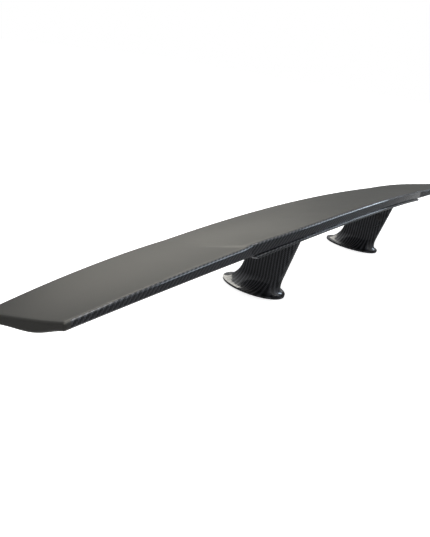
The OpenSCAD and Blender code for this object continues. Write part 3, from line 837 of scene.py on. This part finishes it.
class REARWING_OT_lip(bpy.types.Operator):
    """Lower lip under the centre panel's trailing edge"""
    bl_idname = "rearwing.lip"
    bl_label = "Lower lip"

    def execute(self, context):
        sizes = context.scene.wing_sizes
        blade = Blade(sizes)
        end = (blade.te_crease - sizes.lip_short) / blade.te_crease
        half = stations((0, end - 0.03, 30), (end - 0.03, end, 14))
        spans = [-s for s in reversed(half[1:])] + half
        glue = 0.00015

        def outline(s):
            d = (end - abs(s)) * blade.te_crease / sizes.lip_height
            k = 1.0 if d >= 1 else max(0.3, math.sqrt(1 - (1 - d) ** 2))
            foot = blade.point(s, 1, -1).yz \
                - Vector((0, blade.edge_radius(abs(s), -1)))
            e = blade.chord_line(abs(s)).normalized()

            def at(ahead, below):
                return foot - e * ahead - Vector((0, below + glue))

            def glued(ahead):
                return blade.point(s, blade.back_c(s, ahead), -1).yz - Vector((0, glue))
            slot = sizes.lip_slot * k
            low = (sizes.lip_slot + sizes.lip_height) * k
            neck = sizes.lip_slot + sizes.strip
            return rounded([
                (glued(neck), False), (at(neck, slot), False),
                (at(-sizes.lip_proud * k, slot + 0.0001), True),
                (at(-sizes.lip_proud * k, low), True),
                (at(sizes.lip_depth, low), True),
                (at(sizes.lip_depth, slot + 0.0001), True),
                (at(sizes.lip_depth - 0.001, slot), False),
                (glued(sizes.lip_depth - 0.001), False)],
                sizes.lip_height * 0.46 * k, 6)

        bm = bmesh.new()
        closed_bar(bm, spans, outline,
                   lambda s: math.copysign(blade.te_x(abs(s)), s) if s else 0.0)
        sharpen(bm, 40)
        settle(object_from(bm, "lower_lip_bar"), "wing",
               finish_of(context, "gloss"), "carbon_gloss", "lower_lip")
        return {"FINISHED"}


# ------------------------------------------------------------- tip caps

def tip_cap_piece(context):
    sizes = context.scene.wing_sizes
    blade = Blade(sizes)
    edge = sizes.cap_round          # rounding that runs round the tip
    panel = blade.te_half - blade.te_crease
    start = blade.cap_s
    steps = [(start, 0.0), (2 - edge / panel, 0.0)]
    for k in range(1, 9):
        turn = math.pi / 2 * k / 8
        steps.append((2 - edge * (1 - math.sin(turn)) / panel,
                      edge * (1 - math.cos(turn))))
    vs = stations((0, 0.04, 10), (0.04, 0.78, 26), (0.78, 1, 9))

    def rim(step, v, side):
        s, inward = steps[int(step)]
        return blade.side_point(s, v, side, blade.back_c(s, inward), inward)

    def measure(step, v):
        p = rim(step, v, 1)
        return (p[0], -p[1])

    bm = bmesh.new()
    order = list(range(len(steps)))
    for side in (1, -1):
        warped_grid(bm, order, vs, lambda i, v, side=side: rim(i, v, side), measure)
    fill = [0, 0.2, 0.5, 0.8, 1]
    for step in (0, order[-1]):
        warped_grid(bm, fill, vs,
                    lambda w, v, step=step: rim(step, v, 1).lerp(rim(step, v, -1), w),
                    lambda w, v, step=step: tuple(
                        rim(step, v, 1).lerp(rim(step, v, -1), w).yz))
    for step, below in zip(order, order[1:]):
        warped_grid(bm, [step, below], fill,
                    lambda i, w: rim(i, 0, 1).lerp(rim(i, 0, -1), w),
                    lambda i, w: tuple(rim(i, 0, 1).lerp(rim(i, 0, -1), w).xz))
    weld(bm, 2e-6)
    outward(bm)
    sharpen(bm, 40)
    return object_from(bm, "right_tip")


class REARWING_OT_tips(bpy.types.Operator):
    """Caps that close both ends of the blade"""
    bl_idname = "rearwing.tips"
    bl_label = "Tip caps"

    def execute(self, context):
        right = tip_cap_piece(context)
        left = mirrored(right, "left_tip")
        for piece, node in ((right, "right_tip_cap"), (left, "left_tip_cap")):
            settle(piece, "wing", finish_of(context, "satin"), "carbon_satin", node)
        return {"FINISHED"}


# --------------------------------------------------------------- struts

class Strut:
    """Outline of the right strut at any height."""

    def __init__(self, sizes, blade):
        self.z = sizes
        self.blade = blade
        self.x = sizes.spacing / 2
        self.straight = sizes.flange + sizes.flare

    def front_y(self, z):
        return self.z.front - math.tan(self.z.rake_front) * z

    def rear_y(self, z):
        return -self.z.rear - math.tan(self.z.rake_rear) * z

    def y(self, share_, z):
        return mix(self.rear_y(z), self.front_y(z), share_)

    def flare(self, z):
        if z <= self.z.flange:
            return 1.0
        if z >= self.straight:
            return 0.0
        q = (z - self.z.flange) / self.z.flare
        return 1 - math.sqrt(1 - (1 - q) ** 2)

    def section(self, turn, z, inward):
        p = 2 / 2.6 if math.cos(turn) >= 0 else 2 / 4.5
        half = (self.front_y(z) - self.rear_y(z)) / 2 - inward
        return Vector(((self.z.width / 2 - inward) * power(math.sin(turn), p),
                       self.y(0.5, z) + half * power(math.cos(turn), p)))

    def oval(self, turn, inward):
        return Vector(((self.z.foot_width / 2 - inward) * math.sin(turn),
                       (self.z.foot_length / 2 - inward) * math.cos(turn)))

    def outline(self, turn, z, inward=0.0, lift=0.0):
        return self.section(turn, z, inward).lerp(self.oval(turn, inward),
                                                  self.flare(z + lift))

    def level(self, turn, z, inward=0.0, lift=0.0):
        p = self.outline(turn, z, inward, lift)
        return Vector((self.x + p[0], p[1], z))

    def under_blade(self, turn, inward, drop):
        z = self.blade.z.blade_height
        for _ in range(3):
            p = self.outline(turn, z, inward)
            z = self.blade.under_z(self.x + p[0], p[1]) - drop
        p = self.outline(turn, z, inward)
        return Vector((self.x + p[0], p[1], z))


def strut_turns():
    """Places round the section, evenly spaced in angle."""
    return [2 * math.pi * (i / 96) for i in range(97)]


def strut_rings(strut):
    """Rings from the foot's edge up the outside, over the top, down the
    inside and back under the rim, as (key, place)."""
    z = strut.z
    edge, glue = 0.0008, 0.00015
    mid = mix(strut.straight, strut.blade.z.blade_height, 0.5)
    rings = []
    for k in range(5):
        turn = math.pi / 2 * k / 4
        rings.append(lambda a, inward=edge * (1 - math.sin(turn)),
                     h=edge * (1 - math.cos(turn)): strut.level(a, h, inward))
    for q in (0.0, 0.008, 0.02, 0.04, 0.07, 0.11, 0.16, 0.22, 0.29, 0.37, 0.46,
              0.56, 0.67, 0.79, 0.9, 1.0):
        rings.append(lambda a, h=z.flange + q * z.flare: strut.level(a, h))
    for q in (0.25, 0.5, 0.75):
        rings.append(lambda a, h=mix(strut.straight, mid, q * 2 if q < 0.5 else q):
                     strut.level(a, h))
    rings.append(lambda a: strut.under_blade(a, 0.0, glue))
    rings.append(lambda a: strut.under_blade(a, z.wall, glue))
    rings.append(lambda a: strut.level(a, mid, z.wall))
    for q in (1.0, 0.75, 0.5, 0.3, 0.16, 0.07, 0.02, 0.0):
        rings.append(lambda a, h=z.flange + q * (z.flare - z.wall):
                     strut.level(a, h, z.wall, z.wall))
    for h in (z.flange, 0.0):
        rings.append(lambda a, h=h: Vector(
            (strut.x + strut.oval(a, z.rim)[0], strut.oval(a, z.rim)[1], h)))
    rings.append(rings[0])
    return rings


def strut_form(context, name):
    scene = context.scene
    strut = Strut(scene.strut_sizes, Blade(scene.wing_sizes))
    rings = strut_rings(strut)
    turns = strut_turns()
    reach, total = {turns[0]: 0.0}, 0.0
    height = strut.straight
    for a, b in zip(turns, turns[1:]):
        total += (strut.section(b, height, 0) - strut.section(a, height, 0)).length
        reach[b] = total
    climb, rise = [0.0], 0.0
    for lower, upper in zip(rings, rings[1:]):
        rise += (upper(math.pi / 2) - lower(math.pi / 2)).length
        climb.append(rise)

    def bias(a, i):
        u = reach[a] + max(-1, min(1, 2.5 * math.sin(a))) \
            * (strut.y(0.5, 0) - strut.y(0.5, rings[int(i)](a)[2]))
        v = climb[int(i)]
        return ((u + v) / math.sqrt(2), (u - v) / math.sqrt(2))

    bm = bmesh.new()
    warped_grid(bm, turns, list(range(len(rings))), lambda a, i: rings[int(i)](a), bias)
    weld(bm, 2e-6)
    outward(bm)
    sharpen(bm, 34)
    return strut, object_from(bm, name)


def cover_prism(context, strut, grow, name):
    """Cutter with the cover's outline, through the inboard wall."""
    z = strut.z
    blade = strut.blade
    mid = mix(strut.straight, blade.z.blade_height, 0.5)
    f, r = (strut.y(q, blade.z.blade_height) for q in (0.7, 0.12))
    uf, ur = blade.under_z(strut.x, f), blade.under_z(strut.x, r)
    slope = (ur - uf) / (r - f)
    bm = bmesh.new()
    made = bmesh.ops.create_circle(bm, segments=72, radius=1.0, cap_ends=True)
    for v in made["verts"]:
        a = math.atan2(v.co.y, v.co.x)
        back = z.cover_back + (z.cover_length / 2 + grow) * power(math.cos(a), 0.5)
        depth = z.cover_depth + (z.cover_height / 2 + grow) * power(math.sin(a), 0.5)
        h = uf + slope * (strut.rear_y(mid) + back - f) - depth
        v.co = Vector((strut.x - z.width / 2 - 0.001, strut.rear_y(h) + back, h))
    out = bmesh.ops.extrude_face_region(bm, geom=bm.faces[:])
    bmesh.ops.translate(bm, vec=(z.width / 2 - 0.004 + 0.0012, 0, 0),
                        verts=[g for g in out["geom"] if isinstance(g, bmesh.types.BMVert)])
    outward(bm)
    return object_from(bm, name)


def round_cutter(centre, radius, x0, x1, name, segments=96):
    bm = bmesh.new()
    bmesh.ops.create_cone(bm, cap_ends=True, segments=segments, radius1=radius,
                          radius2=radius, depth=x1 - x0)
    bmesh.ops.rotate(bm, verts=bm.verts, matrix=Matrix.Rotation(math.pi / 2, 3, "Y"))
    bmesh.ops.translate(bm, verts=bm.verts, vec=((x0 + x1) / 2, centre[1], centre[2]))
    outward(bm)
    return object_from(bm, name)


def ease_cut_edges(bm):
    """Welds and tidies what a cut left, and shades it smooth but for edges sharper than 34 degrees.
    """
    bmesh.ops.remove_doubles(bm, verts=bm.verts, dist=3e-6)
    bmesh.ops.dissolve_degenerate(bm, edges=bm.edges, dist=2e-6)
    for f in bm.faces:
        f.smooth = True
    sharpen(bm, 34)


def fastener_centre(side):
    low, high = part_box(side + "_fastener_socket")
    return (low + high) / 2


class REARWING_OT_struts(bpy.types.Operator):
    """Strut shells with their flared feet"""
    bl_idname = "rearwing.struts"
    bl_label = "Strut shells"

    def execute(self, context):
        strut, right = strut_form(context, "right_strut")
        gap = context.scene.strut_sizes.cover_gap
        carve(right, cover_prism(context, strut, gap, "cutter"))
        reshape(right, ease_cut_edges)
        left = mirrored(right, "left_strut")
        for piece, side in ((right, "right"), (left, "left")):
            settle(piece, "wing", finish_of(context, "gloss"), "carbon_gloss",
                   side + "_strut_shell")
        return {"FINISHED"}


class REARWING_OT_covers(bpy.types.Operator):
    """Access covers on the inboard faces, and their quarter-turn fasteners"""
    bl_idname = "rearwing.covers"
    bl_label = "Covers and fasteners"

    def execute(self, context):
        sizes = context.scene.strut_sizes
        strut, right = strut_form(context, "right_cover_plate")
        carve(right, cover_prism(context, strut, 0.0, "cutter"), "INTERSECT")
        centre = fastener_centre("right")
        face = strut.x - sizes.width / 2
        carve(right, round_cutter(centre, sizes.fastener_radius + 0.0003,
                                  face - 0.001, face + 0.0018, "cutter"))
        carve(right, round_cutter(centre, 0.00305, face - 0.001, face + 0.007, "cutter"))
        reshape(right, ease_cut_edges)
        left = mirrored(right, "left_cover_plate")
        for piece, side in ((right, "right"), (left, "left")):
            settle(piece, side + "_cover", finish_of(context, "gloss"), "carbon_gloss",
                   side + "_access_cover")
        stud = self.fastener(context, centre, face)
        twin = mirrored(stud, "left_stud")
        for piece, side in ((stud, "right"), (twin, "left")):
            settle(piece, side + "_fastener", finish_of(context, "black"), "black_steel",
                   side + "_cover_fastener")
        return {"FINISHED"}

    def fastener(self, context, centre, face):
        """Turned stud with a domed, slotted head"""
        r = context.scene.strut_sizes.fastener_radius
        low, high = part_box("right_cover_fastener")
        start, stop, back = low.x, high.x, low.x + 0.0021
        line = [(start + 0.0002, 0.0), (start, r * 0.35), (start + 0.0001, r * 0.8),
                (start + 0.0003, r * 0.93), (start + 0.0007, r), (back - 0.0003, r),
                (back, r - 0.0003), (back, 0.0033), (back + 0.0003, 0.003),
                (stop - 0.0006, 0.003), (stop, 0.0024), (stop, 0.0)]
        bm = bmesh.new()
        verts = [bm.verts.new((x, centre.y, centre.z + q)) for x, q in line]
        edges = [bm.edges.new(pair) for pair in zip(verts, verts[1:])]
        bmesh.ops.spin(bm, geom=verts + edges, cent=centre, axis=(1, 0, 0),
                       angle=2 * math.pi, steps=72, use_merge=True)
        weld(bm)
        outward(bm)
        for f in bm.faces:
            f.smooth = True
        stud = object_from(bm, "right_stud")
        bm = bmesh.new()
        bmesh.ops.create_cube(bm, size=1.0)
        bmesh.ops.scale(bm, verts=bm.verts, vec=(0.0042, 0.0018, r * 1.4))
        bmesh.ops.translate(bm, verts=bm.verts, vec=(start - 0.001, centre.y, centre.z))
        soften_edges(bm, 0.0004, 60, 3)
        carve(stud, object_from(bm, "cutter"))
        return reshape(stud, ease_cut_edges)


# ------------------------------------------------------------- hardware

def thread(bm, centre, radius, depth, pitch=0.001, steps=24):
    """Helical crests on the wall of a threaded hole."""
    x, y = centre
    profile = [(radius, 0.0), (radius - 0.00045, pitch * 0.4),
               (radius - 0.00045, pitch * 0.6), (radius, pitch)]
    verts = [bm.verts.new((x + r, y, h + 0.0008)) for r, h in profile]
    edges = [bm.edges.new(pair) for pair in zip(verts, verts[1:])]
    turns = int((depth - 0.0016) / pitch)
    bmesh.ops.spin(bm, geom=verts + edges, cent=(x, y, 0), axis=(0, 0, 1),
                   dvec=(0, 0, pitch / steps), angle=2 * math.pi * turns,
                   steps=steps * turns)


class REARWING_OT_hardware(bpy.types.Operator):
    """Alloy cores, base plates and blocks, bolts and sockets"""
    bl_idname = "rearwing.hardware"
    bl_label = "Cores, plates and bolts"

    def execute(self, context):
        jobs = (("strut_core", "core", "alloy", "milled_alloy", 0.0004),
                ("base_plate", "plate", "alloy", "milled_alloy", 0.0003),
                ("mount_block", "block", "alloy", "milled_alloy", 0.0004),
                ("blade_bolts", "bolts", "zinc", "bolt_steel", 0.0003),
                ("fastener_socket", "socket", "zinc", "bolt_steel", 0.0002))
        for side, sign in SIDES:
            for node, name, kind, slot, width in jobs:
                piece = frame_copy(side + "_" + node, side + "_" + name, width)
                if name == "plate":
                    reshape(piece, lambda bm, sign=sign: [
                        thread(bm, (sign * context.scene.strut_sizes.spacing / 2, y),
                               0.003, 0.011) for y in (-0.026, 0.026)])
                settle(piece, "wing", finish_of(context, kind), slot,
                       side + "_" + node)
        return {"FINISHED"}


class REARWING_OT_inner(bpy.types.Operator):
    """Laminate finish on the spars and ribs inside the blade"""
    bl_idname = "rearwing.inner"
    bl_label = "Spars and ribs"

    def execute(self, context):
        for node in ("front_spar", "rear_spar", "left_outboard_rib",
                     "right_outboard_rib", "left_mount_ribs", "right_mount_ribs"):
            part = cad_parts[node]
            part.data.materials.clear()
            part.data.materials.append(finish_of(context, "inner"))
        return {"FINISHED"}


# ---------------------------------------------------------------- stage

def soft_light(name, place, aim, size, energy, tint=(1, 1, 1)):
    lamp = bpy.data.lights.new(name, "AREA")
    lamp.shape = "RECTANGLE"
    lamp.size, lamp.size_y = size
    lamp.energy = energy
    lamp.color = tint
    made = bpy.data.objects.new(name, lamp)
    made.location = place
    made.rotation_euler = (Vector(aim) - Vector(place)).to_track_quat("-Z", "Y").to_euler()
    bpy.context.scene.collection.objects.link(made)
    return made


class REARWING_OT_stage(bpy.types.Operator):
    """Pale floor, soft studio light and the camera"""
    bl_idname = "rearwing.stage"
    bl_label = "Stage, light and camera"

    def execute(self, context):
        scene = context.scene
        bm = bmesh.new()
        bmesh.ops.create_grid(bm, x_segments=4, y_segments=4, size=9.0)
        bmesh.ops.translate(bm, verts=bm.verts, vec=(0, 0, -0.0004))
        floor = object_from(bm, "studio_floor")
        material, n, shader = surface("Pale studio floor")
        where = place_coordinates(n)
        base = tuple(scene.wing_finish.floor)
        n.feed(shader.inputs["Base Color"], n.blend(
            n.noise(where, 3.0, 2.0), tuple(0.985 * c for c in base), base))
        shader.inputs["Roughness"].default_value = 0.9
        shader.inputs["Specular IOR Level"].default_value = 0.0
        shader.inputs["Emission Color"].default_value = (1, 1, 1, 1)
        shader.inputs["Emission Strength"].default_value = 0.75
        floor.data.materials.append(material)
        floor.visible_glossy = False

        self.studio(scene)
        soft_light("overhead_softbox", (0.0, -0.3, 2.3), (0, 0, 0.1), (2.4, 1.4), 40,
                   (1.0, 0.99, 0.96))
        soft_light("warm_softbox", (1.2, 1.9, 1.42), (-0.3, 0, 0.1), (1.8, 1.0), 19,
                   (1.0, 0.97, 0.88))
        soft_light("cool_softbox", (1.96, -1.27, 0.80), (-0.1, -0.05, 0.12), (1.5, 0.4),
                   17, (0.74, 0.87, 1.0))

        lens = bpy.data.cameras.new("Camera")
        lens.sensor_width = 36.0
        lens.lens = 36.0 * 550 / 537
        lens.clip_end = 60
        camera = bpy.data.objects.new("Camera", lens)
        ahead = Vector((0.76099, 0.53446, -0.36776))
        right = Vector((0.61273, -0.77838, 0.13669))
        up = right.cross(ahead).normalized()
        turn = Matrix((right, up, -ahead)).transposed()
        camera.matrix_world = Matrix.Translation((-0.95856, -0.44789, 0.36960)) \
            @ turn.to_4x4()
        scene.collection.objects.link(camera)
        scene.camera = camera
        scene.view_settings.view_transform = "Standard"
        return {"FINISHED"}

    def studio(self, scene):
        """White to the eye; to light and reflections, dim near the horizon,
        brighter above and straight below."""
        world = bpy.data.worlds.new("Studio")
        world.use_nodes = True
        scene.world = world
        n = Nodes(world.node_tree)
        world.node_tree.nodes.clear()
        out = n.add("ShaderNodeOutputWorld")
        light = n.add("ShaderNodeBackground")
        seen = n.add("ShaderNodeBackground")
        pick = n.add("ShaderNodeMixShader")
        split = n.add("ShaderNodeSeparateXYZ")
        n.feed(split.inputs[0], n.add("ShaderNodeTexCoord").outputs["Generated"])
        x, y, z = split.outputs
        lift = n.range(z, 0.16, 0.8, 0.1, 0.8)
        toward = n.math("ADD", n.math("MULTIPLY", x, 0.82), n.math("MULTIPLY", y, 0.57))
        sweep = n.math("MULTIPLY", n.range(toward, 0.0, 0.2, 0.6, 0.9),
                       n.range(z, 1.0, 0.0, -0.06, 0.0))
        below = n.range(z, 0.6, 0.0, -0.85, -0.6)
        n.feed(light.inputs["Strength"], n.math("ADD", n.math("ADD", lift, sweep), below))
        light.inputs["Color"].default_value = (0.97, 0.985, 1.0, 1)
        seen.inputs["Color"].default_value = (1, 1, 1, 1)
        n.feed(pick.inputs[0], n.add("ShaderNodeLightPath").outputs["Is Camera Ray"])
        n.feed(pick.inputs[1], light.outputs[0])
        n.feed(pick.inputs[2], seen.outputs[0])
        n.feed(out.inputs[0], pick.outputs[0])


# --------------------------------------------------------- registration

OPERATORS = (REARWING_OT_skins, REARWING_OT_strips, REARWING_OT_lip, REARWING_OT_tips,
             REARWING_OT_struts, REARWING_OT_covers, REARWING_OT_hardware,
             REARWING_OT_inner, REARWING_OT_stage)


class REARWING_PT_panel(bpy.types.Panel):
    """Sizes, finishes and build buttons of the rear wing"""
    bl_idname = "REARWING_PT_panel"
    bl_label = "Rear Wing"
    bl_space_type = "VIEW_3D"
    bl_region_type = "UI"
    bl_category = "Rear Wing"

    def draw(self, context):
        layout = self.layout
        for title, group in (("Blade", context.scene.wing_sizes),
                             ("Struts", context.scene.strut_sizes),
                             ("Finish", context.scene.wing_finish)):
            box = layout.box()
            box.label(text=title)
            for key in group.__annotations__:
                box.prop(group, key)
        for operator in OPERATORS:
            layout.operator(operator.bl_idname)


CLASSES = (WingSizes, StrutSizes, WingFinish, *OPERATORS, REARWING_PT_panel)


def register():
    for cls in CLASSES:
        bpy.utils.register_class(cls)
    bpy.types.Scene.wing_sizes = bpy.props.PointerProperty(type=WingSizes)
    bpy.types.Scene.strut_sizes = bpy.props.PointerProperty(type=StrutSizes)
    bpy.types.Scene.wing_finish = bpy.props.PointerProperty(type=WingFinish)


def unregister():
    del bpy.types.Scene.wing_finish
    del bpy.types.Scene.strut_sizes
    del bpy.types.Scene.wing_sizes
    for cls in reversed(CLASSES):
        bpy.utils.unregister_class(cls)


def main():
    register()
    bpy.ops.rearwing.skins()
    bpy.ops.rearwing.strips()
    bpy.ops.rearwing.lip()
    bpy.ops.rearwing.tips()
    bpy.ops.rearwing.struts()
    bpy.ops.rearwing.covers()
    bpy.ops.rearwing.hardware()
    bpy.ops.rearwing.inner()
    bpy.ops.rearwing.stage()


if __name__ == "__main__":
    main()
